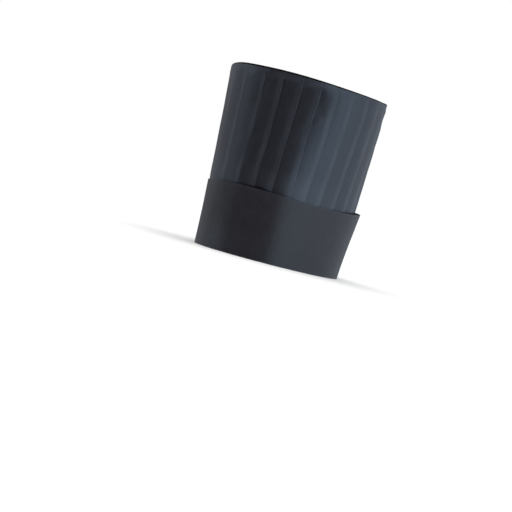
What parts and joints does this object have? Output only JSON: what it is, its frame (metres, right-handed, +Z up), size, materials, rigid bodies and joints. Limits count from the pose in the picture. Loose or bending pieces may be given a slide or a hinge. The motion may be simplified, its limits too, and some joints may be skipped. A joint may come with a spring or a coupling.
{
  "type": "disposable chef hat",
  "caption": "Tall chef hat: a flared pleated crown with a closed flat top and a deep smooth headband turned up round its foot.",
  "frame": {"origin": "middle of the hat's outer box, on the surface that the headband's lower edge stands on", "axes": "+Z up through the crown, the hat's front faces -Y, the wearer's left is +X"},
  "size_m": [0.1918, 0.234, 0.23],
  "materials": {
    "pleated_cloth": "soft sheen, pressed pleats",
    "flat_cloth": "matte",
    "band_cloth": "smooth, matte"
  },
  "bodies": {
    "root": {"crown_wall": "pleated_cloth", "crown_top": "flat_cloth", "headband": "band_cloth"}
  },
  "joints": []
}
